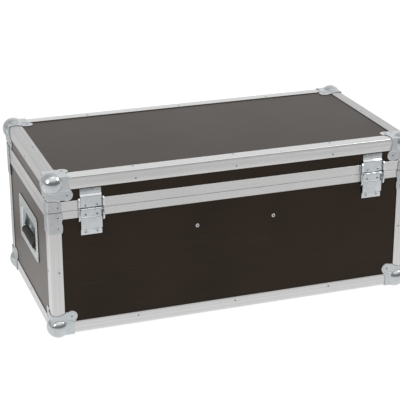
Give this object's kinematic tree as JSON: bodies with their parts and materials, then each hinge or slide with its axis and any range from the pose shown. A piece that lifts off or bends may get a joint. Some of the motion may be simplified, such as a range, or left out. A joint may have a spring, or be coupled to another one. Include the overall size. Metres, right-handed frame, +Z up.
{
  "type": "hard equipment case",
  "caption": "Rectangular hard equipment case with plywood panels, aluminium edges, steel ball corners, a hinged lid, recessed end handles and recessed latches.",
  "frame": {"origin": "centre of the underside, on the plane that the four lower ball corners stand on", "axes": "+X along the length, +Y from the hinge side to the latch side, +Z up"},
  "size_m": [0.922, 0.472, 0.408],
  "materials": {
    "panel": "plywood with a smooth dark brown phenolic film, satin",
    "aluminium": "extruded aluminium, satin, with fine lines along its length",
    "zinc_steel": "pressed steel, bright zinc plate, polished on the balls",
    "rubber_grip": "matt black rubber grip on a steel rod"
  },
  "bodies": {
    "base": {"base_ball_corner_hinge_left": "zinc_steel", "base_ball_corner_hinge_right": "zinc_steel", "base_ball_corner_latch_left": "zinc_steel", "base_ball_corner_latch_right": "zinc_steel", "base_bottom_panel": "panel", "base_brace_hinge_left": "zinc_steel", "base_brace_hinge_right": "zinc_steel", "base_brace_latch_left": "zinc_steel", "base_brace_latch_right": "zinc_steel", "base_closing_frame": "aluminium", "base_edge_hinge_side": "aluminium", "base_edge_latch_side": "aluminium", "base_edge_left": "aluminium", "base_edge_right": "aluminium", "base_hinge_side_panel": "panel", "base_latch_side_panel": "panel", "base_left_panel": "panel", "base_post_hinge_left": "aluminium", "base_post_hinge_right": "aluminium", "base_post_latch_left": "aluminium", "base_post_latch_right": "aluminium", "base_right_panel": "panel", "handle_left_dish": "zinc_steel", "handle_right_dish": "zinc_steel", "hinge_left_base_leaf": "zinc_steel", "hinge_left_pin": "zinc_steel", "hinge_right_base_leaf": "zinc_steel", "hinge_right_pin": "zinc_steel", "latch_left_base_dish": "zinc_steel", "latch_right_base_dish": "zinc_steel"},
    "lid": {"hinge_left_lid_leaf": "zinc_steel", "hinge_right_lid_leaf": "zinc_steel", "latch_left_lid_dish": "zinc_steel", "latch_right_lid_dish": "zinc_steel", "lid_ball_corner_hinge_left": "zinc_steel", "lid_ball_corner_hinge_right": "zinc_steel", "lid_ball_corner_latch_left": "zinc_steel", "lid_ball_corner_latch_right": "zinc_steel", "lid_brace_hinge_left": "zinc_steel", "lid_brace_hinge_right": "zinc_steel", "lid_brace_latch_left": "zinc_steel", "lid_brace_latch_right": "zinc_steel", "lid_closing_frame": "aluminium", "lid_edge_hinge_side": "aluminium", "lid_edge_latch_side": "aluminium", "lid_edge_left": "aluminium", "lid_edge_right": "aluminium", "lid_hinge_side_panel": "panel", "lid_latch_side_panel": "panel", "lid_left_panel": "panel", "lid_right_panel": "panel", "lid_top_panel": "panel"},
    "handle_left_bail": {"handle_left_bail": "rubber_grip"},
    "handle_right_bail": {"handle_right_bail": "rubber_grip"},
    "latch_left_disc": {"latch_left_disc": "zinc_steel"},
    "latch_left_wing": {"latch_left_wing": "zinc_steel"},
    "latch_left_hook": {"latch_left_hook": "zinc_steel"},
    "latch_right_disc": {"latch_right_disc": "zinc_steel"},
    "latch_right_wing": {"latch_right_wing": "zinc_steel"},
    "latch_right_hook": {"latch_right_hook": "zinc_steel"}
  },
  "joints": [
    {"name": "lid_hinge", "type": "hinge", "parent": "base", "child": "lid", "pos_m": [0, -0.2293, 0.3155], "axis": [1, 0, 0], "range_deg": [0, 100]},
    {"name": "handle_left_swing", "type": "hinge", "parent": "base", "child": "handle_left_bail", "pos_m": [-0.439, 0, 0.2155], "axis": [0, 1, 0], "range_deg": [0, 90]},
    {"name": "handle_right_swing", "type": "hinge", "parent": "base", "child": "handle_right_bail", "pos_m": [0.439, 0, 0.2155], "axis": [0, -1, 0], "range_deg": [0, 90]},
    {"name": "latch_left_turn", "type": "hinge", "parent": "base", "child": "latch_left_disc", "pos_m": [-0.235, 0.22, 0.283], "axis": [0, 1, 0], "range_deg": [0, 180]},
    {"name": "latch_left_wing_fold", "type": "hinge", "parent": "latch_left_disc", "child": "latch_left_wing", "pos_m": [-0.235, 0.2237, 0.283], "axis": [1, 0, 0], "range_deg": [0, 90]},
    {"name": "latch_left_hook_tilt", "type": "hinge", "parent": "base", "child": "latch_left_hook", "pos_m": [-0.235, 0.2213, 0.303], "axis": [1, 0, 0], "range_deg": [0, 14]},
    {"name": "latch_right_turn", "type": "hinge", "parent": "base", "child": "latch_right_disc", "pos_m": [0.235, 0.22, 0.283], "axis": [0, 1, 0], "range_deg": [0, 180]},
    {"name": "latch_right_wing_fold", "type": "hinge", "parent": "latch_right_disc", "child": "latch_right_wing", "pos_m": [0.235, 0.2237, 0.283], "axis": [1, 0, 0], "range_deg": [0, 90]},
    {"name": "latch_right_hook_tilt", "type": "hinge", "parent": "base", "child": "latch_right_hook", "pos_m": [0.235, 0.2213, 0.303], "axis": [1, 0, 0], "range_deg": [0, 14]}
  ],
  "couplings": [
    {"joint": "latch_left_hook_tilt", "follows": "latch_left_turn", "ratio": 0.0777},
    {"joint": "latch_right_hook_tilt", "follows": "latch_right_turn", "ratio": 0.0777}
  ]
}
